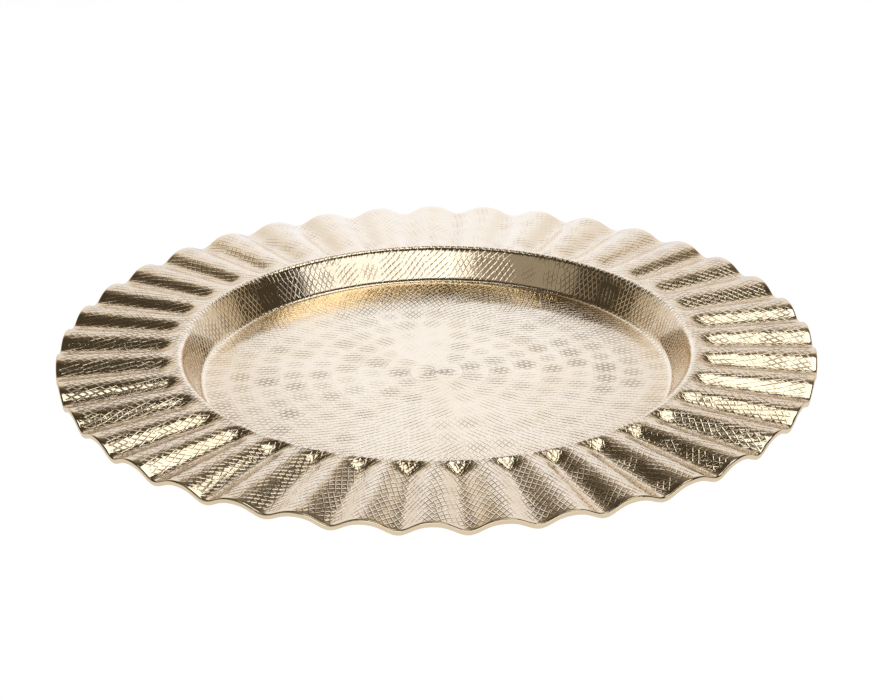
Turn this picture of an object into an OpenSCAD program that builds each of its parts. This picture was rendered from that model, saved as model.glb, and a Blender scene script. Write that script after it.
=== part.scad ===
// Round brass tray: a pressed sheet with a flat-bottomed well, a fluted rim and
// an outer edge that is rolled down around a wire.
// Millimetres. +Z is up, the tray stands on z = 0 and is centred on the Z axis.

/* [Tray] */
// Diameter over the rolled edge
tray_d = 330; // [300:1:360]
// Thickness of the sheet
sheet_t = 0.6; // [0.5:0.05:0.8]

/* [Well] */
// Diameter where the wall's slope meets the plane of the rim
lip_d = 223; // [216:1:232]
// Diameter where the wall's slope meets the floor
floor_d = 206; // [190:1:208]
// Depth from the rim down to the floor
well_depth = 14.6; // [12:0.1:20]
// Radius of the bend at the lip, on the upper side of the sheet
lip_r = 3; // [2:0.5:5]
// Radius of the bend at the floor, on the upper side of the sheet
floor_r = 3; // [2:0.5:5]

/* [Flutes] */
// Number of flutes around the rim
flute_count = 38; // [30:2:40]
// Depth of a flute where it starts, beside the lip
flute_start_depth = 2.6; // [1.5:0.1:3]
// Depth of a flute at the outer edge
flute_edge_depth = 3.8; // [2:0.1:5]
// Length over which a flute drops from the flat lip and levels off at its starting depth
flute_run_in = 8; // [6:0.5:12]
// Rise of the crests from the lip to the outer edge
crest_rise = 0.8; // [0:0.1:2]
// How much broader the crests are than the valleys, where 0 is a plain wave
crest_breadth = 0.15; // [0:0.05:0.2]
// Width of the flat ring between the lip's bend and the flutes
flat_ring_w = 1; // [0.8:0.1:2]

/* [Edge] */
// Diameter of the wire inside the rolled edge
wire_d = 1; // [0.8:0.1:1.4]
// Gap all round between the wire and the sheet that is rolled over it
wire_gap = 0.05; // [0.03:0.01:0.1]

/* [Hidden] */

$fn = 180;
SHEET_COLOR = [0.93, 0.82, 0.62];
WIRE_COLOR = [0.62, 0.62, 0.64];

tray_r = tray_d / 2;
lip_z = sheet_t + well_depth;
wall_slope = atan2(well_depth, (lip_d - floor_d) / 2);

// A bend eats this much of the straight on each side of its corner
function bend_setback(r) = r * tan(wall_slope / 2);
lip_bend_out = lip_d / 2 + bend_setback(lip_r);
floor_bend_in = floor_d / 2 - bend_setback(floor_r);

// The fluted part of the rim starts here
flute_r0 = lip_bend_out + flat_ring_w;
// The spun part's flat ring reaches this far under the fluted part, so the two fuse
ring_overlap = 0.6;
// The fluted part is this much thicker than the ring that it closes over
ring_cover = 0.02;

// The rolled edge, measured in a plane through the tray's axis
wire_r = wire_d / 2;
roll_in_r = wire_r + wire_gap;
roll_out_r = roll_in_r + sheet_t;
roll_center_r = tray_r - roll_out_r;
// The roll turns from straight up, over the outside, to this angle underneath
ROLL_END = -150;
ROLL_OUT_STOPS = [70, 45, 0, -45, -90, ROLL_END];
// Outside, the roll is pressed squarer than a circle, for which this would be 2
ROLL_SQUARENESS = 4;
// Inside, it is round, with a corner at each of these steps
ROLL_IN_STEP = 60;
ROLL_IN_STOPS = [for (turn = [ROLL_END:ROLL_IN_STEP:90]) turn];
// The corners lie this far out, so that the flats between them clear the wire
roll_in_corner_r = roll_in_r / cos(ROLL_IN_STEP / 2);

// Stations around the rim: a whole number in each flute
STEPS_PER_FLUTE = 8;
stations = flute_count * STEPS_PER_FLUTE;
function station_angle(i) = 360 * i / stations;

// Quick change from 0 at x = 0 that levels off at 1 at x = 1
function fall(x) = sin(90 * max(0, min(1, x)));
// How far out along the flutes a radius lies, from 0 to 1
function along_flute(r) = max(0, r - flute_r0) / (roll_center_r - flute_r0);
// Full depth of a flute, crest to valley, at a radius
function flute_depth(r) =
    fall((r - flute_r0) / flute_run_in)
    * (flute_start_depth + (flute_edge_depth - flute_start_depth) * along_flute(r));
// Shape of a flute across: 0 on the crests, 1 in the valleys
function flute_wave(a) =
    (1 - cos(flute_count * a)) / 2
    - crest_breadth * (1 - cos(2 * flute_count * a)) / 2;
// Height of the sheet's upper side on the rim
function rim_z(r, a) =
    lip_z + crest_rise * along_flute(r) - flute_depth(r) * flute_wave(a);
// Height of the centre of the rolled edge
function roll_z(a) = rim_z(roll_center_r, a) - roll_out_r;

// A point at a radius, a height and an angle about the axis
function polar_point(r, z, a) = [r * cos(a), r * sin(a), z];
// Distance from the roll's centre to its outside
function roll_reach(turn) =
    roll_out_r * pow(
        pow(abs(cos(turn)), ROLL_SQUARENESS) + pow(abs(sin(turn)), ROLL_SQUARENESS),
        -1 / ROLL_SQUARENESS
    );
// A point at a distance and a turn about the centre of the rolled edge
function roll_point(radius, turn, a) =
    polar_point(roll_center_r + radius * cos(turn), roll_z(a) + radius * sin(turn), a);

// Radii at which the fluted part has its rings of points, the middle one part way down the run-in
RUN_IN_MIDDLE = 0.4;
flute_stops = [
    flute_r0,
    flute_r0 + flute_run_in * RUN_IN_MIDDLE,
    flute_r0 + flute_run_in
];

// One closed section through the fluted rim and its rolled edge, at one angle
function rim_section(a) = concat(
    [polar_point(flute_r0 - ring_overlap, lip_z - sheet_t - ring_cover, a)],
    [polar_point(flute_r0 - ring_overlap, lip_z + ring_cover, a)],
    [for (r = flute_stops) polar_point(r, rim_z(r, a) + ring_cover, a)],
    [polar_point(roll_center_r, rim_z(roll_center_r, a), a)],
    [for (turn = ROLL_OUT_STOPS) roll_point(roll_reach(turn), turn, a)],
    [for (turn = ROLL_IN_STOPS) roll_point(roll_in_corner_r, turn, a)],
    [for (i = [len(flute_stops) - 1:-1:0])
        polar_point(flute_stops[i], rim_z(flute_stops[i], a) - sheet_t - ring_cover, a)]
);

// Sides of the wire's section
WIRE_SIDES = 8;
function wire_section(a) = [
    for (k = [0:WIRE_SIDES - 1]) roll_point(wire_r, -360 * k / WIRE_SIDES, a)
];

// A closed ring through one section for each station
module ring_through(sections) {
    n = len(sections);
    m = len(sections[0]);
    points = [for (section = sections) for (p = section) p];
    faces = [
        for (i = [0:n - 1]) for (j = [0:m - 1])
            let (i2 = (i + 1) % n, j2 = (j + 1) % m)
            for (half = [0, 1])
                half == 0
                ? [i * m + j, i2 * m + j2, i * m + j2]
                : [i * m + j, i2 * m + j, i2 * m + j2]
    ];
    polyhedron(points = points, faces = faces, convexity = 8);
}

// Points of an arc in the section plane
ARC_STEPS = 10;
function arc_points(center, r, a0, a1) = [
    for (k = [0:ARC_STEPS])
        let (a = a0 + (a1 - a0) * k / ARC_STEPS) center + r * [cos(a), sin(a)]
];

// Upper side of the well's section, from the axis out to the flat ring
floor_bend_center = [floor_bend_in, sheet_t + floor_r];
lip_bend_center = [lip_bend_out, lip_z - lip_r];

module well_section() {
    upper = concat(
        [[0, sheet_t]],
        arc_points(floor_bend_center, floor_r, -90, wall_slope - 90),
        arc_points(lip_bend_center, lip_r, wall_slope + 90, 90),
        [[flute_r0, lip_z]]
    );
    lower = concat(
        [[flute_r0, lip_z - sheet_t]],
        arc_points(lip_bend_center, lip_r - sheet_t, 90, wall_slope + 90),
        arc_points(floor_bend_center, floor_r + sheet_t, wall_slope - 90, -90),
        [[0, 0]]
    );
    polygon(concat(upper, lower));
}

// Floor, wall, lip, fluted rim and rolled edge, pressed from one sheet
module tray_sheet() {
    color(SHEET_COLOR)
    union() {
        rotate_extrude()
            well_section();
        ring_through([for (i = [0:stations - 1]) rim_section(station_angle(i))]);
    }
}

// Stiffening wire inside the rolled edge
module edge_wire() {
    color(WIRE_COLOR)
    ring_through([for (i = [0:stations - 1]) wire_section(station_angle(i))]);
}

tray_sheet();
edge_wire();
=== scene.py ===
"""Looks of the fluted brass tray: its pressed sheet, its edge wire, a pale floor and studio light.

Everything is in metres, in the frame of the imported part: +Z up, the tray standing on z = 0 and
centred on the Z axis. Only the shader of the pressed pattern counts in millimetres.
"""
import math

import bpy
import numpy as np
from mathutils import Matrix, Vector


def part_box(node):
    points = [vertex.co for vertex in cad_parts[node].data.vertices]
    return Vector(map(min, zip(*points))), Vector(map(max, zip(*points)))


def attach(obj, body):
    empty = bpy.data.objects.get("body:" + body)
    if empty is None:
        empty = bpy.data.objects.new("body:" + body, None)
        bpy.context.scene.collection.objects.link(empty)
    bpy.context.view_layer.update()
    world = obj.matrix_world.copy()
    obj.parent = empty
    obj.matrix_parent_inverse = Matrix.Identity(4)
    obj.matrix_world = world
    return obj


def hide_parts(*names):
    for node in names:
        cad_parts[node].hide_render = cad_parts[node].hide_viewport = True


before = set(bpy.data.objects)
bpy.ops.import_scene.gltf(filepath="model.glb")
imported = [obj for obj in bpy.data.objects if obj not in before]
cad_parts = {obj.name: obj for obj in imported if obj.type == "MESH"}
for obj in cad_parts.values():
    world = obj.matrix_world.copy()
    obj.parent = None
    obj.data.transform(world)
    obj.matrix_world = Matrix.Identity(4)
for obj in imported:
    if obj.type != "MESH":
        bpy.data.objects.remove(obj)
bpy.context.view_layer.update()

MM = 0.001

# ---------------------------------------------------------------- the sheet's dimensions
_, sheet_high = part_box("tray_sheet")
_, wire_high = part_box("edge_wire")
TRAY_R = sheet_high.x
SHEET_T = 0.6 * MM
# Where the slope of the well's wall meets the plane of the rim and the floor
LIP_R = 111.5 * MM
FLOOR_R = 103.0 * MM
WELL_DEPTH = 14.6 * MM
# Radii of the bends at the lip and at the floor, on the upper side of the sheet
LIP_BEND = 3.0 * MM
FLOOR_BEND = 3.0 * MM
# Flat ring between the lip's bend and the flutes
FLAT_RING = 1.0 * MM
FLUTES = 38
FLUTE_START_DEPTH = 2.6 * MM
FLUTE_EDGE_DEPTH = 3.8 * MM
# Length over which a flute drops from the flat ring and levels off at its starting depth
FLUTE_RUN_IN = 8.0 * MM
# How much broader the crests are than the valleys, where 0 is a plain wave
CREST_BREADTH = 0.15

# The flutes aren't quite alike: typical differences in depth, as a share of it, and in place, as
# a share of a flute
DEPTH_SPREAD = 0.05
PLACE_SPREAD = 0.012
# They also drift by up to this share of a flute, most at this angle, and the higher the power,
# the shorter the stretch of the rim that drifts
FLUTE_DRIFT = 0.22
DRIFT_AT = math.radians(322)
DRIFT_POWER = 3

LIP_Z = SHEET_T + WELL_DEPTH
CREST_RISE = sheet_high.z - LIP_Z
WALL_SLOPE = math.atan2(WELL_DEPTH, LIP_R - FLOOR_R)
LIP_BEND_OUT = LIP_R + LIP_BEND * math.tan(WALL_SLOPE / 2)
FLOOR_BEND_IN = FLOOR_R - FLOOR_BEND * math.tan(WALL_SLOPE / 2)
FLUTE_R0 = LIP_BEND_OUT + FLAT_RING

# The edge is rolled round the wire, whose outer reach the frame gives
WIRE_R = 0.5 * MM
ROLL_OUT_R = TRAY_R - (wire_high.x - WIRE_R)
ROLL_IN_R = ROLL_OUT_R - SHEET_T
ROLL_CENTRE_R = TRAY_R - ROLL_OUT_R
# The roll turns from straight up, over the outside, to this angle underneath
ROLL_END = math.radians(-150)
# Outside, the roll is pressed squarer than a circle, for which this would be 2
ROLL_SQUARENESS = 4

# ---------------------------------------------------------------- the pressed pattern
# Hammer blows in rings, each ring this wide along the sheet
RING_W = 11.5 * MM
# Each ring starts this share of a blow further round than the one inside it
RING_STAGGER = 0.38
# The sheet swells by this much from between the blows to the middle of each
BLOW_SWELL = 0.02 * MM
# The hammer's face is cut with three families of grooves, which leave raised lines: their
# spacing, half their width and their height, in mm
LINE_SPACING = 2.4
LINE_HALF_W = 0.45
LINE_HEIGHT = 0.13
# The family that runs round the tray is finer and fainter than the two slanting ones, as if all
# of it lay this far from the middle of a line, in mm
ROUND_LINES_OFF = 0.3
# Shares of the height that the lines reach in the well and underneath
WELL_RELIEF = 0.56
UNDER_RELIEF = 0.4
# The flutes' steep sides were stretched when they were pressed and lost this share of the lines
FLANK_LOSS = 0.45
# The hammer is turned this much from the tray's radius, give or take half the spread
HAMMER_TURN = math.radians(-12)
HAMMER_SPREAD = math.radians(22)
# A blow has its full depth within the core and only the border's share of it from the border on;
# both are distances from its middle, in mm
BLOW_CORE = 2.0
BLOW_BORDER = 6.5
BORDER_SHARE = 0.6
# The weakest blow falls short of the strongest by this share
FORCE_SPREAD = 0.35

# ---------------------------------------------------------------- mesh resolution
STEPS_PER_FLUTE = 16
STATIONS = FLUTES * STEPS_PER_FLUTE
FLOOR_STEP = 1.8 * MM
WALL_STEP = 1.0 * MM
RIM_STEP = 1.2 * MM
# The pattern fades out over this width, just before the rolled edge
FADE_W = 2 * RIM_STEP
BEND_STEPS = 6
ROLL_STEPS = 20
WIRE_SIDES = 12
SEED = 7


def ease(x):
    """0 to 1 with level ends."""
    c = np.clip(x, 0.0, 1.0)
    return c * c * (3.0 - 2.0 * c)


def flute_variation():
    """Small seeded differences between one flute and the next: depth factor and angle shift."""
    rng = np.random.default_rng(SEED)
    depth = 1.0 + rng.normal(0.0, DEPTH_SPREAD, FLUTES)
    shift = rng.normal(0.0, PLACE_SPREAD, FLUTES)
    return depth, shift


FLUTE_DEPTH_FACTOR, FLUTE_SHIFT = flute_variation()


def by_flute(values, turn):
    """Blend per-flute values round the rim; turn is the angle counted in flutes from a crest."""
    low = np.floor(turn).astype(int) % FLUTES
    share = ease(turn - np.floor(turn))
    return values[low] * (1.0 - share) + values[(low + 1) % FLUTES] * share


def flute_turn(angle):
    """Angle counted in flutes from a crest, with each flute's own shift and the drift added."""
    turn = angle * FLUTES / math.tau
    drift = FLUTE_DRIFT * ((1.0 + np.cos(angle - DRIFT_AT)) / 2.0) ** DRIFT_POWER
    return turn + by_flute(FLUTE_SHIFT, turn) + drift


def flute_wave(angle):
    """0 on the broad crests, 1 in the narrower valleys."""
    turn = flute_turn(angle)
    depth = by_flute(FLUTE_DEPTH_FACTOR, turn - 0.5)
    once = (1.0 - np.cos(math.tau * turn)) / 2.0
    twice = (1.0 - np.cos(2.0 * math.tau * turn)) / 2.0
    return depth * (once - CREST_BREADTH * twice)


def rim_height(radius, angle):
    """Height of the sheet's upper side on the fluted rim."""
    out = np.maximum(radius - FLUTE_R0, 0.0) / (ROLL_CENTRE_R - FLUTE_R0)
    depth = FLUTE_START_DEPTH + (FLUTE_EDGE_DEPTH - FLUTE_START_DEPTH) * out
    depth = depth * np.sin(np.clip((radius - FLUTE_R0) / FLUTE_RUN_IN, 0.0, 1.0) * math.pi / 2)
    return LIP_Z + CREST_RISE * out - depth * flute_wave(angle)


def arc(centre, radius, start, end, steps):
    """Points of an arc in the section plane, both ends included."""
    angles = np.linspace(start, end, steps + 1)
    return [(centre[0] + radius * math.cos(a), centre[1] + radius * math.sin(a)) for a in angles]


def straight(start, end, step):
    """Points between two ends of a straight, both left out."""
    count = max(1, round(math.dist(start, end) / step))
    shares = [k / count for k in range(1, count)]
    return [tuple(s + (e - s) * f for s, e in zip(start, end)) for f in shares]


def well_profile(drop):
    """Section of the well from the axis to the flat ring, drop below the sheet's upper side."""
    floor_centre = (FLOOR_BEND_IN, SHEET_T + FLOOR_BEND)
    lip_centre = (LIP_BEND_OUT, LIP_Z - LIP_BEND)
    down = -math.pi / 2
    up = math.pi / 2
    floor_bend = arc(floor_centre, FLOOR_BEND + drop, down, WALL_SLOPE + down, BEND_STEPS)
    lip_bend = arc(lip_centre, LIP_BEND - drop, WALL_SLOPE + up, up, BEND_STEPS)
    axis = (0.0, SHEET_T - drop)
    floor = straight(axis, floor_bend[0], FLOOR_STEP)
    wall = straight(floor_bend[-1], lip_bend[0], WALL_STEP)
    return [axis, *floor, *floor_bend, *wall, *lip_bend]


def roll_reach(turn):
    """Distance from the roll's centre to its outside."""
    sides = abs(math.cos(turn)) ** ROLL_SQUARENESS + abs(math.sin(turn)) ** ROLL_SQUARENESS
    return ROLL_OUT_R * sides ** (-1 / ROLL_SQUARENESS)


def rim_radii():
    """Radii of the rim's rings of points, from the flat ring to the roll."""
    count = round((ROLL_CENTRE_R - FLUTE_R0) / RIM_STEP)
    return np.linspace(FLUTE_R0, ROLL_CENTRE_R, count + 1)


def blank_lengths():
    """Lengths along the sheet from the axis to the points of the well's section and of the rim.

    They are the radii that these points had on the flat blank.
    """
    well = well_profile(0.0)
    points = np.array(well + [(radius, LIP_Z) for radius in rim_radii()])
    steps = np.hypot(*np.diff(points, axis=0).T)
    lengths = np.concatenate([[0.0], np.cumsum(steps)])
    return lengths[:len(well)], lengths[len(well):]


def swell(angle, length):
    """Height over the sheet's mean surface, greatest in the middle of each blow."""
    ring = np.floor(length / RING_W)
    count = np.round(math.tau * (ring + 0.5))
    across = 0.5 - 0.5 * np.cos(math.tau * length / RING_W)
    along = 0.5 + 0.5 * np.cos(angle * count + math.tau * RING_STAGGER * ring)
    return BLOW_SWELL * (across * along - 0.5)


class Shell:
    """Rings of points round the Z axis, each joined to the one before it."""

    def __init__(self):
        self.angles = np.arange(STATIONS) * math.tau / STATIONS
        self.rings = []
        self.blank = []
        self.relief = []

    def ring(self, radius, height, blank, relief):
        """Add a ring, with its radius on the flat blank and its share of the lines' height."""
        radius = np.broadcast_to(radius, self.angles.shape)
        height = np.broadcast_to(height, self.angles.shape)
        cos, sin = np.cos(self.angles), np.sin(self.angles)
        self.rings.append(np.stack([radius * cos, radius * sin, height], axis=1))
        self.blank.append(np.stack([blank * cos, blank * sin, np.zeros(STATIONS)], axis=1))
        self.relief.append(np.broadcast_to(relief, self.angles.shape))

    def mesh(self, name, top, bottom):
        """The rings between a top and a bottom point on the axis, as a closed mesh."""
        points = np.concatenate([[top], *self.rings, [bottom]])
        here = 1 + np.arange(STATIONS)
        after = 1 + (np.arange(STATIONS) + 1) % STATIONS
        faces = [(0, int(a), int(b)) for a, b in zip(here, after)]
        for index in range(len(self.rings) - 1):
            this = index * STATIONS
            following = this + STATIONS
            quads = [here + this, here + following, after + following, after + this]
            faces += np.stack(quads, axis=1).tolist()
        last_ring = (len(self.rings) - 1) * STATIONS
        last = len(points) - 1
        faces += [(last, int(b) + last_ring, int(a) + last_ring) for a, b in zip(here, after)]
        mesh = bpy.data.meshes.new(name)
        mesh.from_pydata(points.tolist(), [], faces)
        mesh.polygons.foreach_set("use_smooth", [True] * len(mesh.polygons))
        zero = [[0.0, 0.0, 0.0]]
        blank = np.concatenate([zero, *self.blank, zero])
        relief = np.concatenate([[self.relief[0][0]], *self.relief, [self.relief[-1][0]]])
        coords = mesh.attributes.new("blank", "FLOAT_VECTOR", "POINT")
        coords.data.foreach_set("vector", blank.astype(np.float32).ravel())
        strength = mesh.attributes.new("relief", "FLOAT", "POINT")
        strength.data.foreach_set("value", relief.astype(np.float32))
        mesh.update()
        return mesh


def sheet_mesh():
    """Floor, wall, lip, fluted rim and rolled edge as one closed skin."""
    shell = Shell()
    angles = shell.angles
    radii = rim_radii()
    top = well_profile(0.0)
    under = well_profile(SHEET_T)
    well_lengths, rim_lengths = blank_lengths()

    # Upper side, from the axis out to the roll
    for (radius, height), length in zip(top[1:], well_lengths[1:]):
        shell.ring(radius, height + swell(angles, length), length, WELL_RELIEF)
    steepness = np.abs(np.sin(math.tau * flute_turn(angles)))
    for radius, length in zip(radii, rim_lengths):
        fade = ease((ROLL_CENTRE_R - radius) / FADE_W)
        height = rim_height(radius, angles) + swell(angles, length) * fade
        shell.ring(radius, height, length, fade * (1.0 - FLANK_LOSS * steepness))

    # Round the outside of the roll, and back along its inside
    centre_z = rim_height(ROLL_CENTRE_R, angles) - ROLL_OUT_R
    turns = np.linspace(math.pi / 2, ROLL_END, ROLL_STEPS + 1)
    skins = [(turn, roll_reach(turn)) for turn in turns[1:]]
    skins += [(turn, ROLL_IN_R) for turn in turns[::-1]]
    for turn, reach in skins:
        radius = ROLL_CENTRE_R + reach * math.cos(turn)
        shell.ring(radius, centre_z + reach * math.sin(turn), rim_lengths[-1], 0.0)

    # Underside, from the roll in to the axis
    for radius, length in zip(radii[-2::-1], rim_lengths[-2::-1]):
        shell.ring(radius, rim_height(radius, angles) - SHEET_T, length, UNDER_RELIEF)
    for (radius, height), length in zip(under[:0:-1], well_lengths[:0:-1]):
        shell.ring(radius, height, length, UNDER_RELIEF)
    return shell.mesh("tray_sheet_skin", (0.0, 0.0, SHEET_T), (0.0, 0.0, 0.0))


def wire_mesh():
    """The round wire inside the rolled edge, one closed ring that follows the flutes."""
    angles = np.arange(STATIONS) * math.tau / STATIONS
    centre_z = rim_height(ROLL_CENTRE_R, angles) - ROLL_OUT_R
    turns = -np.arange(WIRE_SIDES) * math.tau / WIRE_SIDES
    radius = ROLL_CENTRE_R + WIRE_R * np.cos(turns)[None, :]
    height = centre_z[:, None] + WIRE_R * np.sin(turns)[None, :]
    x = radius * np.cos(angles)[:, None]
    y = radius * np.sin(angles)[:, None]
    points = np.stack([x, y, height], axis=2).reshape(-1, 3)
    here = np.arange(STATIONS)[:, None] * WIRE_SIDES
    after = (np.arange(STATIONS)[:, None] + 1) % STATIONS * WIRE_SIDES
    side = np.arange(WIRE_SIDES)[None, :]
    next_side = (side + 1) % WIRE_SIDES
    faces = np.stack([here + side, here + next_side, after + next_side, after + side], axis=2)
    mesh = bpy.data.meshes.new("edge_wire_skin")
    mesh.from_pydata(points.tolist(), [], faces.reshape(-1, 4).tolist())
    mesh.polygons.foreach_set("use_smooth", [True] * len(mesh.polygons))
    mesh.update()
    return mesh


# ---------------------------------------------------------------- materials
WHITE = (1.0, 1.0, 1.0, 1.0)
BLACK = (0.0, 0.0, 0.0, 1.0)
BRASS = (0.97, 0.81, 0.58, 1.0)
BRASS_WORN = (0.95, 0.77, 0.52, 1.0)
# The painted shade that the pressed lines are darkened towards
LINE_SHADE_COLOUR = (0.62, 0.40, 0.21, 1.0)
IRON = (0.48, 0.47, 0.46, 1.0)
RUST = (0.25, 0.14, 0.08, 1.0)
# How far the brass is unevenly pressed, how deep its grain is and how thick the wire's rust, in mm
WAVE_HEIGHT = 0.14
GRAIN_HEIGHT = 0.012
RUST_HEIGHT = 0.02
# Share of painted shade that darkens the highest lines
LINE_SHADE_SHARE = 0.6


class Nodes:
    """Short calls that add and link shader nodes of one material."""

    def __init__(self, name):
        self.material = bpy.data.materials.new(name)
        self.material.use_nodes = True
        self.tree = self.material.node_tree
        self.tree.nodes.clear()
        self.shader = self.add("ShaderNodeBsdfPrincipled")
        output = self.add("ShaderNodeOutputMaterial")
        self.tree.links.new(self.shader.outputs["BSDF"], output.inputs["Surface"])

    def add(self, kind):
        return self.tree.nodes.new(kind)

    def feed(self, socket, value):
        if isinstance(value, bpy.types.NodeSocket):
            self.tree.links.new(value, socket)
        else:
            socket.default_value = value

    def math(self, operation, a, b=0.0, c=0.0):
        node = self.add("ShaderNodeMath")
        node.operation = operation
        for socket, value in zip(node.inputs, (a, b, c)):
            self.feed(socket, value)
        return node.outputs[0]

    def smooth(self, value, low, high, to_low=0.0, to_high=1.0):
        """Ease from one level to another while the value goes from low to high."""
        node = self.add("ShaderNodeMapRange")
        node.interpolation_type = "SMOOTHSTEP"
        for key, item in (("Value", value), ("From Min", low), ("From Max", high),
                          ("To Min", to_low), ("To Max", to_high)):
            self.feed(node.inputs[key], item)
        return node.outputs["Result"]

    def split(self, vector):
        node = self.add("ShaderNodeSeparateXYZ")
        self.feed(node.inputs[0], vector)
        return tuple(node.outputs)

    def join(self, x, y):
        node = self.add("ShaderNodeCombineXYZ")
        self.feed(node.inputs["X"], x)
        self.feed(node.inputs["Y"], y)
        return node.outputs[0]

    def attribute(self, name, output):
        node = self.add("ShaderNodeAttribute")
        node.attribute_name = name
        return node.outputs[output]

    def noise(self, vector, scale, detail, rough=0.5):
        node = self.add("ShaderNodeTexNoise")
        self.feed(node.inputs["Vector"], vector)
        node.inputs["Scale"].default_value = scale
        node.inputs["Detail"].default_value = detail
        node.inputs["Roughness"].default_value = rough
        return node.outputs["Fac"]

    def mix(self, share, first, second):
        """Mix two colours, in the sockets that the node keeps for colours."""
        node = self.add("ShaderNodeMix")
        node.data_type = "RGBA"
        socket_a, socket_b = [socket for socket in node.inputs if socket.type == "RGBA"]
        self.feed(node.inputs["Factor"], share)
        self.feed(socket_a, first)
        self.feed(socket_b, second)
        return next(socket for socket in node.outputs if socket.type == "RGBA")

    def bump(self, height_mm):
        node = self.add("ShaderNodeBump")
        node.inputs["Strength"].default_value = 1.0
        node.inputs["Distance"].default_value = MM
        self.feed(node.inputs["Height"], height_mm)
        return node.outputs["Normal"]


def line_distance(n, place, normal_angle):
    """Distance in mm to the nearest line of a family of parallel lines."""
    along_x = n.math("MULTIPLY", place[0], math.cos(normal_angle) / LINE_SPACING)
    cells = n.math("MULTIPLY_ADD", place[1], math.sin(normal_angle) / LINE_SPACING, along_x)
    return n.math("MULTIPLY", n.math("PINGPONG", cells, 0.5), LINE_SPACING)


def pressed_pattern(n):
    """Share of the lines' height, 0 to 1, that the rings of hammer blows left at each point."""
    x, y, _ = n.split(n.attribute("blank", "Vector"))
    angle = n.math("ARCTAN2", y, x)
    length = n.math("SQRT", n.math("ADD", n.math("MULTIPLY", x, x), n.math("MULTIPLY", y, y)))
    rings = n.math("DIVIDE", length, RING_W)
    ring = n.math("FLOOR", rings)
    middle = n.math("ADD", ring, 0.5)
    ring_w_mm = RING_W / MM

    # Which blow of the ring this is, and the place in it, in mm
    blows = n.math("ROUND", n.math("MULTIPLY", middle, math.tau))
    turn = n.math("DIVIDE", n.math("MULTIPLY", angle, blows), math.tau)
    turn = n.math("MULTIPLY_ADD", ring, RING_STAGGER, turn)
    blow = n.math("ROUND", turn)
    pitch = n.math("DIVIDE", n.math("MULTIPLY", middle, math.tau * ring_w_mm), blows)
    along = n.math("MULTIPLY", n.math("SUBTRACT", turn, blow), pitch)
    across = n.math("MULTIPLY", n.math("SUBTRACT", rings, middle), ring_w_mm)

    # Each blow is turned and shifted a little from the last
    chance = n.add("ShaderNodeTexWhiteNoise")
    chance.noise_dimensions = "2D"
    n.feed(chance.inputs["Vector"], n.join(n.math("FLOORED_MODULO", blow, blows), ring))
    luck, shift, force = n.split(chance.outputs["Color"])
    rotate = n.add("ShaderNodeVectorRotate")
    rotate.rotation_type = "Z_AXIS"
    n.feed(rotate.inputs["Vector"], n.join(along, across))
    swing = n.math("SUBTRACT", luck, 0.5)
    n.feed(rotate.inputs["Angle"], n.math("MULTIPLY_ADD", swing, HAMMER_SPREAD, HAMMER_TURN))
    u, v, _ = n.split(rotate.outputs[0])
    place = (n.math("MULTIPLY_ADD", shift, LINE_SPACING, u),
             n.math("MULTIPLY_ADD", luck, LINE_SPACING, v))

    # The three families stand 60 degrees apart, and where they cross, the highest line shows
    round_lines = n.math("ADD", line_distance(n, place, math.radians(90)), ROUND_LINES_OFF)
    rising = line_distance(n, place, math.radians(30))
    falling = line_distance(n, place, math.radians(-30))
    nearest = n.math("MINIMUM", round_lines, n.math("MINIMUM", rising, falling))
    ridge = n.smooth(nearest, 0.0, LINE_HALF_W, 1.0, 0.0)

    # Each blow is weaker towards its border, and some are weaker than others
    squares = n.math("MULTIPLY_ADD", along, along, n.math("MULTIPLY", across, across))
    hold = n.smooth(n.math("SQRT", squares), BLOW_CORE, BLOW_BORDER, 1.0, BORDER_SHARE)
    force = n.math("MULTIPLY_ADD", force, FORCE_SPREAD, 1.0 - FORCE_SPREAD)
    return n.math("MULTIPLY", ridge, n.math("MULTIPLY", hold, force))


def brass_sheet():
    """Pale champagne-gold brass, softly uneven, with painted shade that darkens the pressed lines a
    little.
    """
    n = Nodes("brass_sheet")
    relief = n.attribute("relief", "Fac")
    lines = n.math("MULTIPLY", pressed_pattern(n), relief)
    blank = n.attribute("blank", "Vector")

    height = n.math("MULTIPLY", lines, LINE_HEIGHT)
    wave = n.math("MULTIPLY", n.noise(blank, scale=55.0, detail=1.0), WAVE_HEIGHT)
    grain = n.math("MULTIPLY", n.noise(blank, scale=900.0, detail=2.0), GRAIN_HEIGHT)
    total = n.math("ADD", height, n.math("ADD", wave, grain))
    n.feed(n.shader.inputs["Normal"], n.bump(total))

    wear = n.smooth(n.noise(blank, scale=28.0, detail=4.0, rough=0.6), low=0.42, high=0.72)
    # Painted shade: the raised lines are darkened in step with their height
    line_shade = n.smooth(lines, low=0.15, high=0.8, to_low=0.0, to_high=LINE_SHADE_SHARE)
    colour = n.mix(line_shade, n.mix(wear, BRASS, BRASS_WORN), LINE_SHADE_COLOUR)
    n.feed(n.shader.inputs["Base Color"], colour)
    n.shader.inputs["Metallic"].default_value = 1.0
    patches = n.noise(blank, scale=120.0, detail=3.0)
    rough = n.smooth(patches, low=0.3, high=0.7, to_low=0.06, to_high=0.11)
    n.feed(n.shader.inputs["Roughness"], rough)
    return n.material


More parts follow.
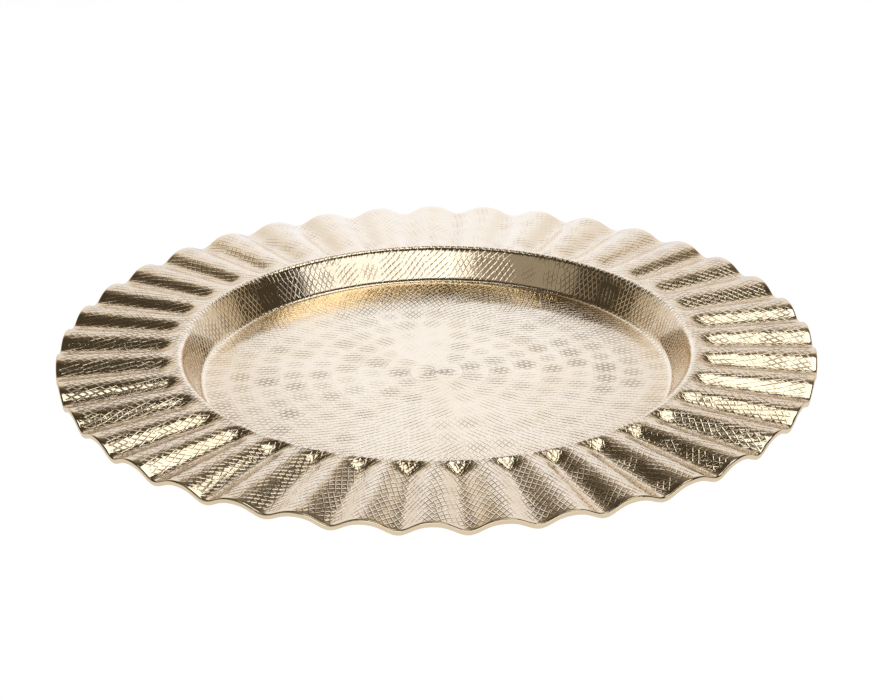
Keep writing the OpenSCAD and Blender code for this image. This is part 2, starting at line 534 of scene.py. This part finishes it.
def iron_wire():
    """Drawn iron wire with light surface rust."""
    n = Nodes("iron_wire")
    coords = n.add("ShaderNodeTexCoord").outputs["Object"]
    rust = n.smooth(n.noise(coords, scale=260.0, detail=4.0, rough=0.65), low=0.5, high=0.75)
    n.feed(n.shader.inputs["Base Color"], n.mix(rust, IRON, RUST))
    n.feed(n.shader.inputs["Roughness"], n.smooth(rust, 0.0, 1.0, to_low=0.3, to_high=0.75))
    n.feed(n.shader.inputs["Metallic"], n.smooth(rust, 0.0, 1.0, to_low=1.0, to_high=0.2))
    n.feed(n.shader.inputs["Normal"], n.bump(n.math("MULTIPLY", rust, RUST_HEIGHT)))
    return n.material


def add_piece(name, mesh, material, node):
    """An object that stands for a CAD node and rides on the part's one body."""
    piece = bpy.data.objects.new(name, mesh)
    bpy.context.scene.collection.objects.link(piece)
    mesh.materials.append(material)
    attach(piece, "root")
    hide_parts(node)


# ---------------------------------------------------------------- stage, light and camera
# The camera and the lights stand turned by this much round the tray, which places its flutes
VIEW_TURN = math.radians(4.1)
# The camera is placed and aimed from the middle of the rim, at this height
RIM_PLANE_Z = 13.7 * MM
CAMERA_ELEVATION = math.radians(24.36)
CAMERA_DISTANCE = 5.953 * TRAY_R
CAMERA_ROLL = math.radians(-0.57)
# It is aimed this far to the right of the middle, and this far behind it
AIM_RIGHT = 0.5 * MM
AIM_BEHIND = -5.6 * MM
SENSOR_MM = 36.0
LENS_MM = 92.2

FLOOR_HALF = 6.0
FLOOR_GREY = (0.12, 0.12, 0.12, 1.0)
# The floor glows by itself: this much in the tray's reflections, and so much more to the eye
FLOOR_GLOW = 0.66
FLOOR_GLOW_MORE = 0.3

# The lights' distance from the tray's middle
LIGHT_DISTANCE = 1.3

# The overhead panel: its corners, seen from above, and its height
OVERHEAD_CORNERS = [
    (-0.22, 0.11), (0.42, 0.08), (0.42, 0.3), (0.24, 0.44), (0.05, 0.44), (-0.02, 0.19), (-0.22, 0.19)
]
OVERHEAD_Z = 0.7
OVERHEAD_COLOUR = (0.97, 1.0, 1.02, 1.0)
OVERHEAD_GLOW = 1.5

# The sweep behind the tray: its size and place, and how its glow changes from one distance to a
# second one, given with the levels at both. Two falls to the sides are added up, and two falls
# upwards are multiplied
SWEEP_HALF_W = 0.7
SWEEP_HEIGHT = 0.5
SWEEP_BEHIND = 0.32
SWEEP_MIDDLE = (0.04, 0.16, 0.14, 0.0)
SWEEP_SIDES = (0.1, 0.5, 0.88, 0.5)
SWEEP_LOW = (0.215, 0.3, 1.0, 0.19)
SWEEP_HIGH = (0.3, 0.45, 1.0, 0.35)
# It is warm where its glow is under the first level and cool over the second
SWEEP_WARM = (1.0, 0.84, 0.62, 1.0)
SWEEP_COOL = (0.95, 1.03, 1.24, 1.0)
SWEEP_WARM_TO_COOL = (0.4, 1.05)

# What the tray reflects of the room past the panels
ROOM = (0.055, 0.046, 0.033, 1.0)


def direction(azimuth, elevation):
    """Unit vector; azimuth 0 is straight behind the tray from the camera, positive to the right."""
    turn = math.radians(azimuth) - VIEW_TURN
    up = math.radians(elevation)
    return Vector((math.sin(turn) * math.cos(up), math.cos(turn) * math.cos(up), math.sin(up)))


def make_camera():
    """A long lens a little under a metre away, looking 24 degrees down at the table."""
    data = bpy.data.cameras.new("camera")
    data.sensor_width = SENSOR_MM
    data.lens = LENS_MM
    camera = bpy.data.objects.new("camera", data)
    bpy.context.scene.collection.objects.link(camera)
    turn = Matrix.Rotation(VIEW_TURN, 4, "Z")
    out = CAMERA_DISTANCE * math.cos(CAMERA_ELEVATION)
    up = CAMERA_DISTANCE * math.sin(CAMERA_ELEVATION)
    place = Vector((0.0, -out, up + RIM_PLANE_Z))
    aim = Vector((AIM_RIGHT, AIM_BEHIND, RIM_PLANE_Z))
    look = (aim - place).to_track_quat("-Z", "Y").to_matrix().to_4x4()
    roll = Matrix.Rotation(CAMERA_ROLL, 4, "Z")
    camera.matrix_world = turn @ Matrix.Translation(place) @ look @ roll
    bpy.context.scene.camera = camera


def make_floor():
    """A plain white table, a little dimmer as a reflection than to the eye."""
    half = FLOOR_HALF
    corners = [(-half, -half, 0), (half, -half, 0), (half, half, 0), (-half, half, 0)]
    mesh = bpy.data.meshes.new("floor")
    mesh.from_pydata(corners, [], [(0, 1, 2, 3)])
    floor = bpy.data.objects.new("floor", mesh)
    bpy.context.scene.collection.objects.link(floor)
    n = Nodes("floor_paper")
    n.shader.inputs["Base Color"].default_value = FLOOR_GREY
    n.shader.inputs["Roughness"].default_value = 0.9
    n.shader.inputs["Emission Color"].default_value = WHITE
    seen = n.add("ShaderNodeLightPath").outputs["Is Camera Ray"]
    glow = n.math("MULTIPLY_ADD", seen, FLOOR_GLOW_MORE, FLOOR_GLOW)
    n.feed(n.shader.inputs["Emission Strength"], glow)
    mesh.materials.append(n.material)


def soft_light(name, towards, width, height, radiance, colour):
    """A rectangular light that faces the tray and is seen in it with the given brightness."""
    data = bpy.data.lights.new(name, "AREA")
    data.shape = "RECTANGLE"
    data.size = width
    data.size_y = height
    data.energy = radiance * width * height * math.pi
    data.color = colour
    light = bpy.data.objects.new(name, data)
    bpy.context.scene.collection.objects.link(light)
    light.location = towards * LIGHT_DISTANCE
    light.rotation_mode = "QUATERNION"
    light.rotation_quaternion = towards.to_track_quat("Z", "Y")
    light.visible_camera = False


def make_lights():
    """A box above the camera and to its right, and two dimmer fills, lower down and to the left."""
    soft_light("camera_box", direction(azimuth=157, elevation=40),
               width=2.2, height=0.42, radiance=1.3, colour=(0.95, 1.0, 1.12))
    soft_light("front_fill", direction(azimuth=165, elevation=13),
               width=2.6, height=0.75, radiance=0.72, colour=(1.0, 0.95, 0.94))
    soft_light("left_fill", direction(azimuth=-140, elevation=36),
               width=1.6, height=0.6, radiance=0.25, colour=(1.0, 0.93, 0.84))


def glowing_panel(name, corners, place):
    """A flat panel seen only in the tray, and the nodes that set its glow."""
    mesh = bpy.data.meshes.new(name)
    mesh.from_pydata(corners, [], [tuple(range(len(corners)))])
    panel = bpy.data.objects.new(name, mesh)
    bpy.context.scene.collection.objects.link(panel)
    panel.matrix_world = Matrix.Rotation(VIEW_TURN, 4, "Z") @ Matrix.Translation(place)
    panel.visible_camera = False
    panel.visible_shadow = False
    n = Nodes(name)
    n.shader.inputs["Base Color"].default_value = BLACK
    mesh.materials.append(n.material)
    return n


def make_overhead():
    """A big soft window overhead, behind and to the right of the tray."""
    outline = [(x, y, 0) for x, y in OVERHEAD_CORNERS]
    n = glowing_panel("overhead", outline, (0, 0, OVERHEAD_Z))
    n.shader.inputs["Emission Color"].default_value = OVERHEAD_COLOUR
    n.shader.inputs["Emission Strength"].default_value = OVERHEAD_GLOW


def make_sweep():
    """A bright paper sweep close behind the tray, which dims upwards and to the sides."""
    half = SWEEP_HALF_W
    outline = [(-half, 0, 0), (half, 0, 0), (half, 0, SWEEP_HEIGHT), (-half, 0, SWEEP_HEIGHT)]
    n = glowing_panel("sweep", outline, (0, SWEEP_BEHIND, 0))
    x, _, z = n.split(n.add("ShaderNodeTexCoord").outputs["Object"])
    side = n.math("ABSOLUTE", x)
    across = n.math("ADD", n.smooth(side, *SWEEP_MIDDLE), n.smooth(side, *SWEEP_SIDES))
    upwards = n.math("MULTIPLY", n.smooth(z, *SWEEP_LOW), n.smooth(z, *SWEEP_HIGH))
    glow = n.math("MULTIPLY", across, upwards)
    colour = n.mix(n.smooth(glow, *SWEEP_WARM_TO_COOL), SWEEP_WARM, SWEEP_COOL)
    n.feed(n.shader.inputs["Emission Color"], colour)
    n.feed(n.shader.inputs["Emission Strength"], glow)


def make_world():
    """White to the camera, and a dark warm room to the tray."""
    world = bpy.data.worlds.new("studio")
    bpy.context.scene.world = world
    world.use_nodes = True
    tree = world.node_tree
    tree.nodes.clear()
    seen = tree.nodes.new("ShaderNodeBackground")
    seen.inputs["Color"].default_value = WHITE
    room = tree.nodes.new("ShaderNodeBackground")
    room.inputs["Color"].default_value = ROOM
    path = tree.nodes.new("ShaderNodeLightPath")
    mix = tree.nodes.new("ShaderNodeMixShader")
    tree.links.new(path.outputs["Is Camera Ray"], mix.inputs["Fac"])
    tree.links.new(room.outputs[0], mix.inputs[1])
    tree.links.new(seen.outputs[0], mix.inputs[2])
    output = tree.nodes.new("ShaderNodeOutputWorld")
    tree.links.new(mix.outputs[0], output.inputs["Surface"])


make_camera()
make_floor()
make_lights()
make_overhead()
make_sweep()
make_world()
bpy.context.scene.view_settings.view_transform = "Standard"

add_piece("sheet_skin", sheet_mesh(), brass_sheet(), "tray_sheet")
add_piece("wire_skin", wire_mesh(), iron_wire(), "edge_wire")
